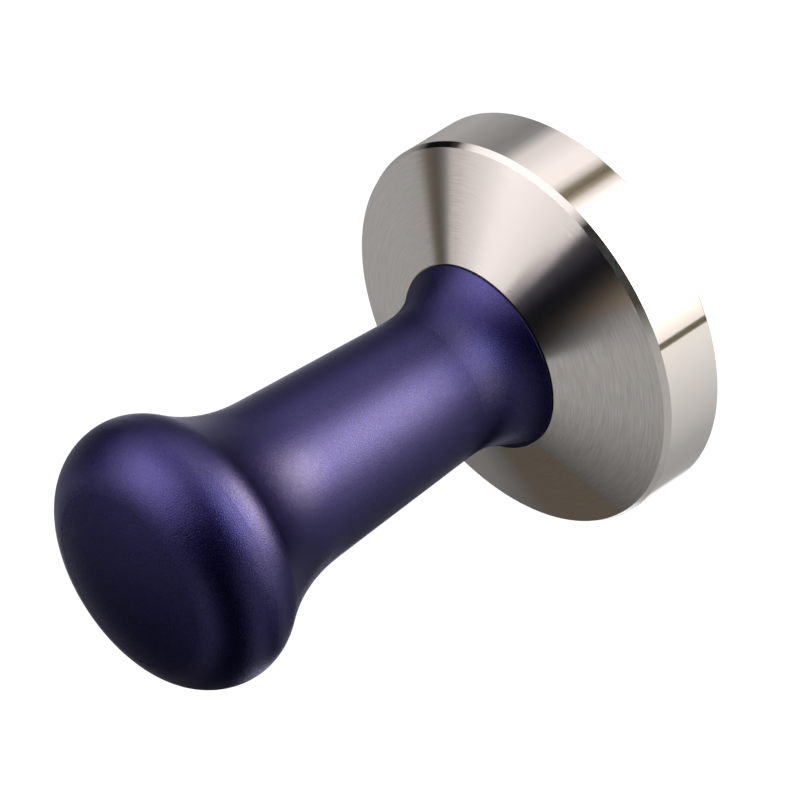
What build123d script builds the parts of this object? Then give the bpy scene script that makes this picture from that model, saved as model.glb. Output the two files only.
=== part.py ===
from build123d import *
from math import asin, cos, degrees, radians, sin, tan
import os

# An espresso tamper, standing on its pressing face.
# Millimetres, +Z up along the axis of revolution, origin at the centre of the pressing face.
# The handle screws onto the base by a stud, with a thin washer between its foot and the base.

# Stainless steel base: a plain piston with a narrow bevel, a conical top and a flat seat
BASE_RADIUS = 29.0
BASE_SIDE_HEIGHT = 9.4
PRESSING_EDGE_BREAK = 0.25
BEVEL_TOP_RADIUS = 28.55
BEVEL_TOP_HEIGHT = 10.4
SEAT_RADIUS = 14.05
SEAT_HEIGHT = 16.45
BASE_THREAD_DEPTH = 10.5
BASE_DRILL_DEPTH = 11.5

# Nylon washer, a little smaller than the foot, so that it shows only as a dark line
WASHER_RADIUS = 13.75
WASHER_BORE_RADIUS = 4.4
WASHER_THICKNESS = 0.15

# Aluminium handle, turned in one piece: its outline is a chain of tangent arcs and lines
HANDLE_TOP_HEIGHT = 82.9
DOME_RADIUS = 47.5
CROWN_RADIUS = 8.6
KNOB_RADIUS = 19.2
UNDERSIDE_RADIUS = 7.8
UNDERSIDE_ANGLE = 34.7
UNDERSIDE_LENGTH = 1.4
SHOULDER_RADIUS = 27.2
NECK_TAPER = 3.15
FLARE_TOP_HEIGHT = 26.4
FLARE_RADIUS = 14.1
FOOT_EDGE_RADIUS = 0.1
HANDLE_THREAD_DEPTH = 17.0
HANDLE_DRILL_DEPTH = 18.5

# M8 thread of the steel stud and of the two tapped holes, drawn as cylinders of the outer diameter
THREAD_RADIUS = 4.0
THREAD_CLEARANCE = 0.05
TAP_DRILL_RADIUS = 3.4
DRILL_POINT_ANGLE = 59.0
COUNTERSINK_RADIUS = 4.4

# Stud: a set screw, 25 mm long, with a 4 mm hexagon socket in the end that the base covers
STUD_LENGTH = 25.0
STUD_PROJECTION = 9.5
STUD_END_RADIUS = 3.2
SOCKET_ACROSS_FLATS = 4.0
SOCKET_DEPTH = 4.5
SOCKET_MOUTH_RADIUS = 2.45

MARGIN = 0.5

foot_height = SEAT_HEIGHT + WASHER_THICKNESS
stud_bottom = foot_height - STUD_PROJECTION
stud_top = stud_bottom + STUD_LENGTH


def turned(*outline):
    """The solid that a closed outline in radius and height makes about the Z axis."""
    return revolve(Plane.XZ * make_face(outline), Axis.Z)


def tapped(blank, mouth, direction, thread_depth, drill_depth):
    """The blank with a tapped hole that runs from the height of its mouth up (1) or down (-1)."""
    def depth(distance):
        return mouth + direction * distance

    hole_radius = THREAD_RADIUS + THREAD_CLEARANCE
    point_length = TAP_DRILL_RADIUS / tan(radians(DRILL_POINT_ANGLE))
    hole = turned(Polyline(
        (0, depth(-MARGIN)),
        (COUNTERSINK_RADIUS + MARGIN, depth(-MARGIN)),
        (hole_radius, depth(COUNTERSINK_RADIUS - hole_radius)),
        (hole_radius, depth(thread_depth)),
        (TAP_DRILL_RADIUS, depth(thread_depth)),
        (TAP_DRILL_RADIUS, depth(drill_depth)),
        (0, depth(drill_depth + point_length)),
        close=True,
    ))
    return blank - hole


def make_base():
    blank = turned(Polyline(
        (0, 0),
        (BASE_RADIUS - PRESSING_EDGE_BREAK, 0),
        (BASE_RADIUS, PRESSING_EDGE_BREAK),
        (BASE_RADIUS, BASE_SIDE_HEIGHT),
        (BEVEL_TOP_RADIUS, BEVEL_TOP_HEIGHT),
        (SEAT_RADIUS, SEAT_HEIGHT),
        (0, SEAT_HEIGHT),
        close=True,
    ))
    return tapped(blank, SEAT_HEIGHT, -1, BASE_THREAD_DEPTH, BASE_DRILL_DEPTH)


def make_washer():
    return turned(Polyline(
        (WASHER_BORE_RADIUS, SEAT_HEIGHT),
        (WASHER_RADIUS, SEAT_HEIGHT),
        (WASHER_RADIUS, foot_height),
        (WASHER_BORE_RADIUS, foot_height),
        close=True,
    ))


def make_handle():
    """The outline runs from the top of the dome on the axis, round the knob, down to the foot."""
    dome_angle = degrees(asin((KNOB_RADIUS - CROWN_RADIUS) / (DOME_RADIUS - CROWN_RADIUS)))
    dome = JernArc((0, HANDLE_TOP_HEIGHT), (1, 0), DOME_RADIUS, -dome_angle)
    crown = JernArc(dome @ 1, dome % 1, CROWN_RADIUS, dome_angle - 90)
    underside = JernArc(crown @ 1, crown % 1, UNDERSIDE_RADIUS, -UNDERSIDE_ANGLE)
    slope = Line(underside @ 1, underside @ 1 + (underside % 1) * UNDERSIDE_LENGTH)
    shoulder = JernArc(slope @ 1, slope % 1, SHOULDER_RADIUS, UNDERSIDE_ANGLE - NECK_TAPER)
    neck_drop = (shoulder @ 1).Y - FLARE_TOP_HEIGHT
    neck = Line(shoulder @ 1, shoulder @ 1 + (shoulder % 1) * (neck_drop / cos(radians(NECK_TAPER))))
    flare_drop = FLARE_TOP_HEIGHT - foot_height
    rim_slope = degrees(asin(flare_drop / FLARE_RADIUS - sin(radians(NECK_TAPER))))
    flare = JernArc(neck @ 1, neck % 1, FLARE_RADIUS, rim_slope + NECK_TAPER)
    foot = Polyline(flare @ 1, (0, foot_height), (0, HANDLE_TOP_HEIGHT))
    blank = turned(dome, crown, underside, slope, shoulder, neck, flare, foot)
    rim = blank.edges().group_by(Axis.Z)[0].sort_by(SortBy.RADIUS)[-1]
    blank = fillet(rim, FOOT_EDGE_RADIUS)
    return tapped(blank, foot_height, 1, HANDLE_THREAD_DEPTH, HANDLE_DRILL_DEPTH)


def make_stud():
    end_chamfer = THREAD_RADIUS - STUD_END_RADIUS
    blank = turned(Polyline(
        (0, stud_bottom),
        (STUD_END_RADIUS, stud_bottom),
        (THREAD_RADIUS, stud_bottom + end_chamfer),
        (THREAD_RADIUS, stud_top - end_chamfer),
        (STUD_END_RADIUS, stud_top),
        (0, stud_top),
        close=True,
    ))
    hexagon = RegularPolygon(SOCKET_ACROSS_FLATS / 2, 6, major_radius=False)
    socket = extrude(Pos(0, 0, stud_bottom) * hexagon, SOCKET_DEPTH)
    socket_mouth = turned(Polyline(
        (0, stud_bottom),
        (SOCKET_MOUTH_RADIUS, stud_bottom),
        (0, stud_bottom + SOCKET_MOUTH_RADIUS),
        close=True,
    ))
    return blank - socket - socket_mouth


parts = {
    "base": make_base(),
    "washer": make_washer(),
    "handle": make_handle(),
    "stud": make_stud(),
}
os.makedirs("parts", exist_ok=True)
for name, shape in parts.items():
    export_step(shape, f"parts/{name}.step")
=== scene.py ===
from math import ceil, cos, radians, sin

import bpy
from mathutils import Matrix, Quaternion, Vector


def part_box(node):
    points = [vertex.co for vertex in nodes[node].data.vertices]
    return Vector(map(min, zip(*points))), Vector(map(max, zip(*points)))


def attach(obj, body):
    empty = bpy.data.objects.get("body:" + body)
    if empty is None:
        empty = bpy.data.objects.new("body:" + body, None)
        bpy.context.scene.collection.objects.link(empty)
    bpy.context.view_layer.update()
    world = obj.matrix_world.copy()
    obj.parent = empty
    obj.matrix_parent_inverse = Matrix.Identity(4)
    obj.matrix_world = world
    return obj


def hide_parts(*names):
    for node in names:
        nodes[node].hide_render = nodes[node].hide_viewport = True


# The espresso tamper, standing on its pressing face. Metres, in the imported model's own frame.
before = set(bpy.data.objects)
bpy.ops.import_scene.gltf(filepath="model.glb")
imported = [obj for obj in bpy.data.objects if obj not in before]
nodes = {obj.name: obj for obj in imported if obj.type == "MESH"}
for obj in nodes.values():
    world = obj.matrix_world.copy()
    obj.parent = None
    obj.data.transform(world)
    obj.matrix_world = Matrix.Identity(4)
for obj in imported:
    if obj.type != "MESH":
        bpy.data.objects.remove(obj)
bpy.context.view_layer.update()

# Camera: it looks down at the tamper from the -Y side, turned so that the handle points to the lower left
CAMERA_PLACE = Vector((0, -0.5086, 0.3634))
CAMERA_AIM = Vector((0.0008, 0, 0.0310))
CAMERA_ROLL = radians(-122.8)
CAMERA_LENS = 203.6
CAMERA_NEAR = 0.01
SENSOR_WIDTH = 36.0

# Studio: a pale floor and backdrop, and shaped lights, each part of a sphere round the tamper
FLOOR_HALF_WIDTH = 6.0
FLOOR_DROP = 0.0002
FLOOR_GLOW = 1.05
BACKDROP_RADIUS = 8.0
STUDIO_RADIUS = 2.0
AMBIENT = 0.08
WHITE = (1, 1, 1, 1)

# What the camera sees mirrored in a turned surface depends on the way that the surface faces. So each
# light is placed by what it lights: the radius and height of the surface that mirrors it, the tilts of
# that surface from the axis, and for each tilt stops of azimuth, with the glow and the tint there.
# Angles are in degrees. One place on the axis stands for the whole handle. The base's lights stand
# in front of the handle's, and at their edges they run into it.
WARM = (1.0, 0.95, 0.965)
GREY = (1.0, 0.995, 1.0)
DARK = (1.0, 0.82, 0.64)
YELLOW = (1.0, 0.94, 0.55)
BLUE = (0.8, 0.9, 1.15)
DOME = (
    (-180, 0.04, GREY), (-150, 0.06, GREY), (-90, 0.23, GREY), (-60, 0.32, GREY), (-30, 0.22, GREY),
    (20, 0.14, GREY), (60, 0.10, GREY), (110, 0.05, GREY), (180, 0.04, GREY),
)
CROWN = (
    (-180, 0.04, GREY), (-100, 0.0, GREY), (-85, 0.0, GREY), (-76, 0.5, WARM), (-68, 2.2, WARM),
    (-50, 4.0, WARM), (-40, 1.8, WARM), (-30, 0.3, WARM), (-18, 0.05, GREY), (10, 0.4, GREY),
    (60, 0.2, GREY), (180, 0.04, GREY),
)
FLARE = (
    (-180, 0.0, GREY), (-150, 0.0, GREY), (-138, 0.0, GREY), (-126, 0.1, BLUE), (-114, 0.1, BLUE),
    (-102, 1.6, BLUE), (-90, 5.0, BLUE), (-78, 2.2, BLUE), (-66, 0.6, BLUE), (-54, 1.5, BLUE),
    (-42, 0.5, BLUE), (-30, 0.0, GREY), (-18, 0.4, GREY), (0, 2.0, GREY), (180, 0.0, GREY),
)
NECK = (
    (-180, 0.3, GREY), (-165, 0.0, GREY), (-150, 0.0, GREY), (-138, 0.15, GREY), (-126, 0.7, WARM),
    (-114, 4.2, YELLOW), (-107, 4.3, YELLOW), (-101, 4.2, YELLOW), (-94, 4.0, YELLOW), (-86, 4.0, YELLOW),
    (-79, 3.9, YELLOW), (-72, 3.7, YELLOW), (-66, 3.3, YELLOW), (-54, 2.0, WARM), (-42, 0.4, GREY),
    (-30, 0.25, GREY), (-18, 0.4, GREY), (0, 1.0, GREY), (180, 0.3, GREY),
)
KNOB = (
    (-180, 0.0, GREY), (-165, 0.0, GREY), (-150, 0.1, GREY), (-138, 0.2, GREY), (-126, 0.4, GREY),
    (-114, 1.2, WARM), (-107, 3.6, YELLOW), (-101, 9.0, YELLOW), (-94, 18.0, YELLOW), (-86, 18.0, YELLOW),
    (-79, 6.5, YELLOW), (-72, 1.4, WARM), (-66, 0.9, WARM), (-54, 0.8, WARM), (-42, 0.2, GREY),
    (-30, 0.0, GREY), (-18, 0.5, GREY), (0, 1.0, GREY), (180, 0.0, GREY),
)
UNDERSIDE = (
    (-180, 0.1, GREY), (-130, 0.2, GREY), (-90, 0.3, GREY), (-50, 0.25, GREY), (-20, 0.9, GREY),
    (0, 1.0, GREY), (180, 0.1, GREY),
)
HANDLE_PLACE = (0.0, 0.031)
HANDLE_ROWS = (
    (0, DOME), (17, DOME), (42, CROWN), (72, CROWN), (75, FLARE), (80, FLARE), (84, NECK), (90, NECK),
    (94, KNOB), (100, KNOB), (110, UNDERSIDE), (150, UNDERSIDE),
)
CONE = (
    (-180, 0.12, GREY), (-160, 0.27, GREY), (-148, 0.38, GREY), (-136, 0.47, GREY), (-115, 0.51, GREY),
    (-110, 0.46, GREY), (-103, 0.46, GREY), (-98, 0.38, DARK), (-92, 0.08, DARK), (-88, 0.0, DARK),
    (-77.4, 0.0, DARK), (-76.4, 1.1, WARM), (-74.5, 1.1, WARM), (-70, 0.90, WARM), (-64, 0.92, WARM),
    (-57, 0.95, WARM), (-48, 0.89, WARM), (-40, 0.87, WARM), (-34, 0.84, WARM), (-27, 0.70, WARM),
    (-23.5, 0.2, GREY), (-20, 0.07, DARK), (-16, 0.14, DARK), (-10.5, 0.44, GREY), (-7, 0.46, GREY),
    (57, 0.50, GREY), (118, 0.24, GREY), (140, 0.14, GREY), (150, 0.125, DARK), (180, 0.14, DARK),
)
BEVEL = (
    (-180, 1.1, GREY), (-174, 0.8, GREY), (-171, 0.5, GREY), (-167, 0.37, GREY), (-157, 0.37, GREY),
    (-149, 0.43, GREY), (-137, 0.48, GREY), (-119, 0.49, GREY), (-111, 0.41, GREY), (-105, 0.19, GREY),
    (-101, 0.04, DARK), (-90, 0.0, DARK), (-76.5, 0.0, DARK), (-74, 0.6, WARM), (-70, 1.15, WARM),
    (-63, 1.3, WARM), (-45, 1.3, WARM), (-39, 1.2, WARM), (-35, 1.1, WARM), (-31, 0.55, WARM),
    (-28, 0.05, DARK), (-25, 0.0, DARK), (-16, 0.0, DARK), (-11, 0.2, GREY), (-7, 0.30, GREY),
    (15, 0.3, GREY), (60, 0.2, GREY), (150, 0.5, GREY), (180, 1.1, GREY),
)
SIDE = (
    (-180, 1.25, GREY), (-171, 1.15, GREY), (-168.8, 0.72, GREY), (-166.5, 0.44, GREY), (-158, 0.40, GREY),
    (-149, 0.46, GREY), (-141, 0.60, GREY), (-134, 0.70, GREY), (-125, 0.83, GREY), (-117, 0.88, GREY),
    (-115.7, 0.88, GREY), (-115.4, 0.0, DARK), (-113.9, 0.0, DARK), (-113.5, 0.93, WARM),
    (-109, 1.3, WARM), (-105, 2.8, WARM), (-101, 4.2, WARM), (-95, 4.6, WARM), (-85, 4.6, WARM),
    (-79, 3.8, WARM), (-75, 2.4, WARM), (-71, 1.15, WARM), (-69.5, 0.82, WARM), (-68, 0.27, DARK),
    (-66.6, 0.05, DARK), (-65.2, 0.15, DARK), (-63.5, 0.7, WARM), (-61.5, 1.08, WARM), (-57, 1.1, WARM),
    (-52, 0.9, WARM), (-48.5, 0.82, WARM), (-45.8, 0.48, GREY), (-43.5, 0.28, GREY), (-40, 0.25, GREY),
    (-31, 0.36, GREY), (-22, 0.43, GREY), (-12, 0.38, GREY), (0, 0.25, GREY), (180, 1.25, GREY),
)
CONE_PLACE = (0.021, 0.0134)
CONE_ROWS = ((17, DOME), (20, CONE), (27, CONE), (33, CROWN))
BEVEL_PLACE = (0.0288, 0.0099)
BEVEL_ROWS = ((58, CROWN), (61, BEVEL), (72, BEVEL), (75, FLARE))
SIDE_PLACE = (0.029, 0.005)
SIDE_ROWS = ((84.5, NECK), (86.5, SIDE), (93.5, SIDE), (95.5, KNOB))

# The lights' largest step in degrees, the gap behind the base's lights, and the share of their glow
# that a surface mirrors when it comes by way of another
LIGHT_STEP = 2.0
LIGHT_GAP = 0.05
SECOND_BOUNCE = 0.1

# The Mix node has sockets for each type of data: these are the numbers of those that mix colours
MIX_FACTOR = 0
MIX_FIRST = 6
MIX_SECOND = 7
MIX_RESULT = 2


def new_material(name):
    material = bpy.data.materials.new(name)
    material.use_nodes = True
    tree = material.node_tree
    tree.nodes.clear()
    return material, tree


def node(tree, kind, inputs=None, **settings):
    """A new shader node, its settings, and its inputs as values or as the sockets to join."""
    made = tree.nodes.new(kind)
    for key, value in settings.items():
        setattr(made, key, value)
    for key, value in (inputs or {}).items():
        if isinstance(value, bpy.types.NodeSocket):
            tree.links.new(value, made.inputs[key])
        else:
            made.inputs[key].default_value = value
    return made


def combined(tree, operation, first, second):
    """The sum, difference or product of two values."""
    return node(tree, "ShaderNodeMath", {0: first, 1: second}, operation=operation).outputs[0]


def remap(tree, value, start, end, low, high):
    """The value's range from start to end, mapped to low to high and held there beyond it."""
    inputs = {"Value": value, "From Min": start, "From Max": end, "To Min": low, "To Max": high}
    return node(tree, "ShaderNodeMapRange", inputs).outputs["Result"]


def mixed(tree, factor, first, second):
    """The colour that runs from the first to the second as the factor goes from 0 to 1."""
    inputs = {MIX_FACTOR: factor, MIX_FIRST: first, MIX_SECOND: second}
    return node(tree, "ShaderNodeMix", inputs, data_type="RGBA").outputs[MIX_RESULT]


def outward(azimuth):
    """The direction away from the axis at this azimuth."""
    return Vector((cos(radians(azimuth)), sin(radians(azimuth)), 0))


def mesh_object(name, points, faces, smooth=True):
    mesh = bpy.data.meshes.new(name)
    mesh.from_pydata([tuple(p) for p in points], [], faces)
    mesh.update()
    if smooth:
        mesh.shade_smooth()
    made = bpy.data.objects.new(name, mesh)
    bpy.context.scene.collection.objects.link(made)
    return made


def paint(made, material):
    made.data.materials.clear()
    made.data.materials.append(material)


# Materials ------------------------------------------------------------------

def object_place(tree):
    return node(tree, "ShaderNodeTexCoord").outputs["Object"]


def height_of(tree, place):
    return node(tree, "ShaderNodeSeparateXYZ", {"Vector": place}).outputs["Z"]


def radius_of(tree, place):
    """The distance of a place from the axis."""
    flat = node(tree, "ShaderNodeVectorMath", {0: place, 1: (1, 1, 0)}, operation="MULTIPLY").outputs[0]
    return node(tree, "ShaderNodeVectorMath", {0: flat}, operation="LENGTH").outputs["Value"]


def turned_lines(tree, place, along, fineness, arcs):
    """Fine random marks round the axis, as a turning tool leaves: so many to a metre and to a turn."""
    around = node(tree, "ShaderNodeVectorMath", {0: place, 1: (1, 1, 0)}, operation="MULTIPLY").outputs[0]
    way = node(tree, "ShaderNodeVectorMath", {0: around}, operation="NORMALIZE").outputs[0]
    spread = node(tree, "ShaderNodeVectorMath", {0: way, "Scale": arcs}, operation="SCALE").outputs[0]
    rise = node(tree, "ShaderNodeCombineXYZ", {"Z": combined(tree, "MULTIPLY", along, fineness)}).outputs[0]
    vector = node(tree, "ShaderNodeVectorMath", {0: spread, 1: rise}, operation="ADD").outputs[0]
    return node(tree, "ShaderNodeTexNoise", {"Vector": vector, "Scale": 1.0, "Detail": 2.0}).outputs["Fac"]


# Base: the height at which the bevel ends, with a narrow band where the finish changes,
# the marks to a metre and to a turn, and the range of their noise
CONE_BOTTOM = 0.0104
FINISH_BLEND = 0.00002
BASE_FINENESS = 8000.0
BASE_ARCS = 7.0
MARK_LOW = 0.3
MARK_HIGH = 0.7
POLISH_ROUGHNESS = 0.10
CONE_DULLEST = 0.10
CONE_CLEAREST = 0.04
POLISH_MARK_SHARE = 0.05
BASE_MARK_DEPTH = 0.000004
STEEL_LIGHT = (0.83, 0.78, 0.733, 1)
STEEL_DARK = (0.80, 0.75, 0.705, 1)
QUARTER_TURN = 0.25


def base_steel():
    """A polished side and bevel, and a duller cone with deeper turning marks."""
    material, tree = new_material("base_steel")
    place = object_place(tree)
    height = height_of(tree, place)
    along = combined(tree, "SUBTRACT", radius_of(tree, place), height)
    lines = turned_lines(tree, place, along, BASE_FINENESS, BASE_ARCS)
    on_cone = remap(tree, height, CONE_BOTTOM - FINISH_BLEND, CONE_BOTTOM + FINISH_BLEND, 0.0, 1.0)
    dullness = remap(tree, lines, MARK_LOW, MARK_HIGH, CONE_CLEAREST, CONE_DULLEST)
    duller = combined(tree, "MULTIPLY", on_cone, dullness)
    roughness = combined(tree, "ADD", duller, POLISH_ROUGHNESS)
    shade = combined(tree, "MULTIPLY", on_cone, remap(tree, lines, MARK_LOW, MARK_HIGH, 0.0, 1.0))
    color = mixed(tree, shade, STEEL_LIGHT, STEEL_DARK)
    depth = remap(tree, on_cone, 0.0, 1.0, POLISH_MARK_SHARE, 1.0)
    bump = node(tree, "ShaderNodeBump", {"Height": lines, "Strength": depth, "Distance": BASE_MARK_DEPTH})
    tangent = node(tree, "ShaderNodeTangent", direction_type="RADIAL", axis="Z").outputs[0]
    shader = node(tree, "ShaderNodeBsdfPrincipled", {
        "Base Color": color, "Metallic": 1.0, "Roughness": roughness,
        "Anisotropic": 1.0, "Anisotropic Rotation": QUARTER_TURN,
        "Tangent": tangent, "Normal": bump.outputs[0],
    })
    node(tree, "ShaderNodeOutputMaterial", {"Surface": shader.outputs[0]})
    return material


STUD_FINENESS = 3000.0
STUD_ARCS = 4.0
STUD_MARK_DEPTH = 0.000002
STUD_GREY = (0.6, 0.6, 0.6, 1)


def stud_steel():
    """Plain steel, duller than the base, as a rolled thread is."""
    material, tree = new_material("stud_steel")
    place = object_place(tree)
    lines = turned_lines(tree, place, height_of(tree, place), STUD_FINENESS, STUD_ARCS)
    bump = node(tree, "ShaderNodeBump", {"Height": lines, "Strength": 1.0, "Distance": STUD_MARK_DEPTH})
    shader = node(tree, "ShaderNodeBsdfPrincipled", {
        "Base Color": STUD_GREY, "Metallic": 1.0, "Roughness": 0.35, "Normal": bump.outputs[0],
    })
    node(tree, "ShaderNodeOutputMaterial", {"Surface": shader.outputs[0]})
    return material


# Handle: blasted grains to a metre, their depth, and the colours of the low and the high ones
BLAST_FINENESS = 7500.0
BLAST_DEPTH = 0.00004
BLAST_LOW = 0.4
BLAST_HIGH = 0.6
VIOLET_LOW = (0.011, 0.008, 0.064, 1)
VIOLET_HIGH = (0.028, 0.021, 0.142, 1)
VIOLET_EDGE = (0.3, 0.25, 0.5, 1)


def handle_anodised():
    """Bead-blasted aluminium under a clear, blue-violet anodised layer."""
    material, tree = new_material("handle_anodised")
    inputs = {"Vector": object_place(tree), "Scale": BLAST_FINENESS, "Detail": 1.0}
    grain = node(tree, "ShaderNodeTexNoise", inputs).outputs["Fac"]
    shade = remap(tree, grain, BLAST_LOW, BLAST_HIGH, 0.0, 1.0)
    color = mixed(tree, shade, VIOLET_LOW, VIOLET_HIGH)
    bump = node(tree, "ShaderNodeBump", {"Height": grain, "Strength": 1.0, "Distance": BLAST_DEPTH})
    shader = node(tree, "ShaderNodeBsdfPrincipled", {
        "Base Color": color, "Metallic": 1.0, "Roughness": 0.34, "Specular Tint": VIOLET_EDGE,
        "Coat Weight": 0.6, "Coat IOR": 1.5, "Coat Roughness": 0.22,
        "Normal": bump.outputs[0], "Coat Normal": bump.outputs[0],
    })
    node(tree, "ShaderNodeOutputMaterial", {"Surface": shader.outputs[0]})
    return material


WASHER_FINENESS = 2500.0
WASHER_GRAIN_DEPTH = 0.00001
WASHER_BLACK = (0.02, 0.02, 0.02, 1)


def washer_nylon():
    """Smooth black nylon with a faint grain."""
    material, tree = new_material("washer_nylon")
    inputs = {"Vector": object_place(tree), "Scale": WASHER_FINENESS}
    grain = node(tree, "ShaderNodeTexNoise", inputs).outputs["Fac"]
    bump = node(tree, "ShaderNodeBump", {"Height": grain, "Strength": 0.5, "Distance": WASHER_GRAIN_DEPTH})
    shader = node(tree, "ShaderNodeBsdfPrincipled", {
        "Base Color": WASHER_BLACK, "Roughness": 0.6, "Normal": bump.outputs[0],
    })
    node(tree, "ShaderNodeOutputMaterial", {"Surface": shader.outputs[0]})
    return material


paint(nodes["base"], base_steel())
paint(nodes["handle"], handle_anodised())
paint(nodes["washer"], washer_nylon())
thread_steel = stud_steel()
paint(nodes["stud"], thread_steel)


# Threads --------------------------------------------------------------------

# M8 right-hand thread. Half the crest and one flank are given as shares of the pitch.
PITCH = 0.00125
THREAD_RADIUS = 0.0040
THREAD_DEPTH = 0.00077
CREST_HALF = 1 / 16
FLANK = 0.354
COLUMNS = 48
ROWS_PER_PITCH = 12
TURNS = [i / COLUMNS for i in range(COLUMNS)]

# The stud, with a hexagon socket in its lower end
STUD_BOTTOM, STUD_TOP = [corner.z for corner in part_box("stud")]
STUD_END_RADIUS = 0.0032
SOCKET_DEPTH = 0.0045
SOCKET_HALF_WIDTH = 0.0020
SOCKET_MOUTH_RADIUS = 0.00245
SOCKET_CHAMFER = SOCKET_MOUTH_RADIUS - SOCKET_HALF_WIDTH

# The base's hole, between the floor of its thread and its countersink
SEAT_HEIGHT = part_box("base")[1].z
COUNTERSINK_DEPTH = 0.00035
HOLE_LENGTH = 0.0101
HOLE_TOP = SEAT_HEIGHT - COUNTERSINK_DEPTH
HOLE_BOTTOM = HOLE_TOP - HOLE_LENGTH
HOLE_CLEARANCE = 0.00005
HOLE_WALL = THREAD_RADIUS + HOLE_CLEARANCE


def thread_radius(height, turn):
    """Radius of the thread's surface: full at the crests, and less by its depth at the roots."""
    phase = (height / PITCH - turn) % 1
    from_crest = min(phase, 1 - phase)
    share = min(1, max(0, (from_crest - CREST_HALF) / FLANK))
    return THREAD_RADIUS - THREAD_DEPTH * share


def thread_rings(bottom, top, shape):
    """Rings up a thread, with the radius that the shape gives at each height and turn."""
    count = round((top - bottom) / PITCH * ROWS_PER_PITCH)
    heights = [bottom + (top - bottom) * i / count for i in range(count + 1)]
    return [(height, [shape(height, turn) for turn in TURNS]) for height in heights]


def round_ring(height, radius):
    """A ring of the same radius all round."""
    return height, [radius] * COLUMNS


def hexagon_ring(height):
    """A ring in the shape of the socket, which is 60 degrees from corner to corner."""
    return height, [SOCKET_HALF_WIDTH / cos(radians((360 * turn) % 60 - 30)) for turn in TURNS]


def ringed_object(name, rings, closed):
    """Faces from each ring to the next, and from the last to the first if closed, or else flat ends."""
    points = [outward(360 * turn) * radius + Vector((0, 0, height))
              for height, ring in rings for turn, radius in zip(TURNS, ring)]
    pairs = list(zip(range(len(rings)), range(1, len(rings))))
    if closed:
        pairs.append((len(rings) - 1, 0))
    faces = [(low * COLUMNS + i, low * COLUMNS + (i + 1) % COLUMNS,
              high * COLUMNS + (i + 1) % COLUMNS, high * COLUMNS + i)
             for low, high in pairs for i in range(COLUMNS)]
    if not closed:
        last = (len(rings) - 1) * COLUMNS
        faces.append(tuple(reversed(range(COLUMNS))))
        faces.append(tuple(range(last, last + COLUMNS)))
    return mesh_object(name, points, faces, smooth=False)


def stud_thread():
    """The set screw, from the floor of its hexagon socket, over its lower end, up to its top."""
    def chamfered(height, turn):
        end = min(height - STUD_BOTTOM, STUD_TOP - height)
        return min(thread_radius(height, turn), STUD_END_RADIUS + end)

    made = ringed_object("stud_threaded", [
        hexagon_ring(STUD_BOTTOM + SOCKET_DEPTH),
        hexagon_ring(STUD_BOTTOM + SOCKET_CHAMFER),
        round_ring(STUD_BOTTOM, SOCKET_MOUTH_RADIUS),
        *thread_rings(STUD_BOTTOM, STUD_TOP, chamfered),
    ], closed=False)
    paint(made, thread_steel)
    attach(made, "handle")
    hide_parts("stud")


def base_thread():
    """The thread's ridges on the wall of the base's hole."""
    def cut(height, turn):
        return thread_radius(height, turn) + HOLE_CLEARANCE

    made = ringed_object("base_thread", [
        *thread_rings(HOLE_BOTTOM, HOLE_TOP, cut),
        round_ring(HOLE_TOP, HOLE_WALL),
        round_ring(HOLE_BOTTOM, HOLE_WALL),
    ], closed=True)
    paint(made, thread_steel)
    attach(made, "base")


stud_thread()
base_thread()


# Studio ---------------------------------------------------------------------

def glowing(name, color, strength):
    """A plain glow, the same all over."""
    material, tree = new_material(name)
    shader = node(tree, "ShaderNodeEmission", {"Color": color, "Strength": strength})
    node(tree, "ShaderNodeOutputMaterial", {"Surface": shader.outputs[0]})
    return material


def stored_glow():
    """The glow stored in a light's points, weaker where it comes by way of a second surface."""
    material, tree = new_material("stored_glow")
    color = node(tree, "ShaderNodeAttribute", attribute_name="glow").outputs["Color"]
    bounces = node(tree, "ShaderNodeLightPath").outputs["Ray Depth"]
    shader = node(tree, "ShaderNodeEmission", {
        "Color": color, "Strength": remap(tree, bounces, 1.0, 2.0, 1.0, SECOND_BOUNCE),
    })
    node(tree, "ShaderNodeOutputMaterial", {"Surface": shader.outputs[0]})
    return material


def stage_piece(made, material, in_picture, in_reflections):
    """Part of the studio, which glows, and shows only in the picture or only in reflections."""
    paint(made, material)
    made.visible_camera = in_picture
    made.visible_glossy = in_reflections
    made.visible_diffuse = False
    made.visible_transmission = False
    made.visible_shadow = False


def facing(azimuth, tilt):
    """The way that a surface faces, by its azimuth and its tilt from the axis."""
    return outward(azimuth) * sin(radians(tilt)) + Vector((0, 0, cos(radians(tilt))))


def divided(corners):
    """The corners in order, with even steps of at most LIGHT_STEP between them."""
    places = []
    for start, end in zip(corners, corners[1:]):
        count = ceil((end - start) / LIGHT_STEP)
        places += [start + (end - start) * i / count for i in range(count)]
    return places + [corners[-1]]


def level(stops, angle):
    """The light at an angle, from the two stops round it."""
    for (start, first), (end, last) in zip(stops, stops[1:]):
        if angle <= end:
            return first.lerp(last, (angle - start) / (end - start))


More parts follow.
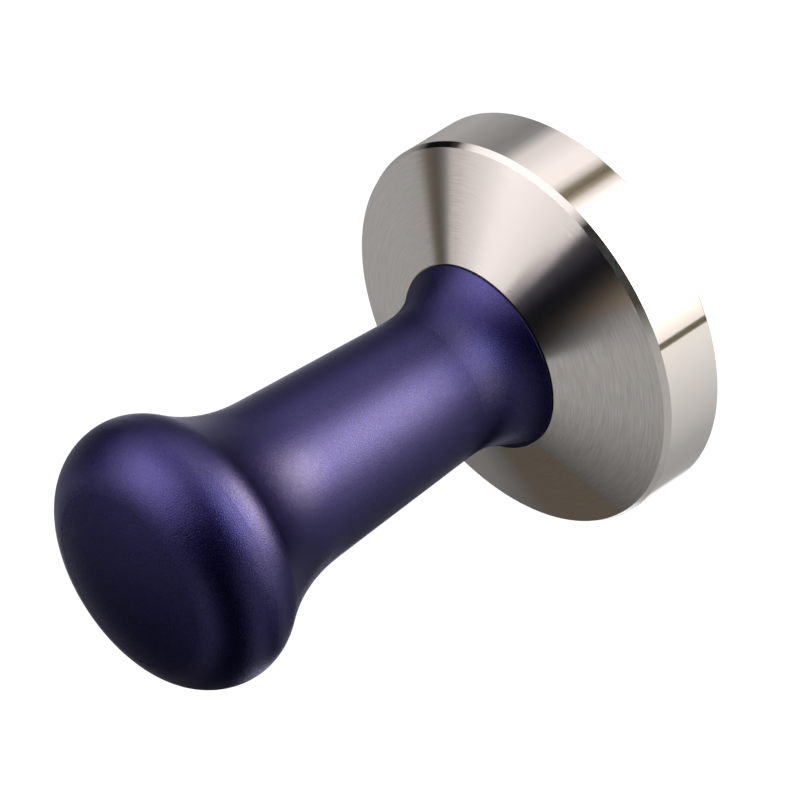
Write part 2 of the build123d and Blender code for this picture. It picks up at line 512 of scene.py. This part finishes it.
def shaped_light(name, place, rows, distance, material):
    """The light that the camera sees mirrored in a turned surface at this place, with these tilts.

    Squares that only a surface turned away from the camera would mirror are left out.
    """
    radius, height = place
    rows = [(tilt, [(azimuth, Vector(tint) * glow) for azimuth, glow, tint in stops])
            for tilt, stops in rows]
    azimuths = divided(sorted({azimuth for _, stops in rows for azimuth, _ in stops}))
    tilts = divided([tilt for tilt, _ in rows])
    points = []
    glows = []
    in_sight = []
    for azimuth in azimuths:
        mirror = outward(azimuth) * radius + Vector((0, 0, height))
        view = (CAMERA_PLACE - mirror).normalized()
        column = [(tilt, level(stops, azimuth)) for tilt, stops in rows]
        for tilt in tilts:
            way = facing(azimuth, tilt)
            points.append(mirror + (2 * way.dot(view) * way - view) * distance)
            glows.append(level(column, tilt))
            in_sight.append(way.dot(view) > 0)
    count = len(tilts)
    squares = [(i * count + j, i * count + j + 1, (i + 1) * count + j + 1, (i + 1) * count + j)
               for i in range(len(azimuths) - 1) for j in range(count - 1)]
    kept = [square for square in squares if all(in_sight[i] for i in square)]
    made = mesh_object(name, points, kept)
    colors = made.data.color_attributes.new("glow", "FLOAT_COLOR", "POINT")
    for stored, glow in zip(colors.data, glows):
        stored.color = (*glow, 1)
    stage_piece(made, material, in_picture=False, in_reflections=True)


def floor():
    """A pale square, just below the pressing face."""
    corners = ((-1, -1), (1, -1), (1, 1), (-1, 1))
    points = [(x * FLOOR_HALF_WIDTH, y * FLOOR_HALF_WIDTH, -FLOOR_DROP) for x, y in corners]
    made = mesh_object("floor", points, [(0, 1, 2, 3)])
    stage_piece(made, glowing("floor", WHITE, FLOOR_GLOW), in_picture=True, in_reflections=False)


def backdrop():
    """A sphere round the whole studio, as pale as the floor."""
    bpy.ops.mesh.primitive_uv_sphere_add(segments=48, ring_count=24, radius=BACKDROP_RADIUS)
    made = bpy.context.object
    made.name = "backdrop"
    stage_piece(made, glowing("backdrop", WHITE, FLOOR_GLOW), in_picture=True, in_reflections=False)


light_material = stored_glow()
lights = (
    ("handle_light", HANDLE_PLACE, HANDLE_ROWS, STUDIO_RADIUS + LIGHT_GAP),
    ("cone_light", CONE_PLACE, CONE_ROWS, STUDIO_RADIUS),
    ("bevel_light", BEVEL_PLACE, BEVEL_ROWS, STUDIO_RADIUS),
    ("side_light", SIDE_PLACE, SIDE_ROWS, STUDIO_RADIUS),
)
for name, place, rows, distance in lights:
    shaped_light(name, place, rows, distance, light_material)
floor()
backdrop()

world = bpy.data.worlds.new("studio")
bpy.context.scene.world = world
world.use_nodes = True
background = world.node_tree.nodes["Background"]
background.inputs["Color"].default_value = WHITE
background.inputs["Strength"].default_value = AMBIENT


# Camera ---------------------------------------------------------------------

camera_data = bpy.data.cameras.new("camera")
camera_data.lens = CAMERA_LENS
camera_data.sensor_width = SENSOR_WIDTH
camera_data.clip_start = CAMERA_NEAR
camera = bpy.data.objects.new("camera", camera_data)
camera.location = CAMERA_PLACE
camera.rotation_mode = "QUATERNION"
aimed = (CAMERA_AIM - CAMERA_PLACE).to_track_quat("-Z", "Y")
camera.rotation_quaternion = aimed @ Quaternion((0, 0, 1), CAMERA_ROLL)
bpy.context.scene.collection.objects.link(camera)
bpy.context.scene.camera = camera
bpy.context.scene.view_settings.view_transform = "Standard"
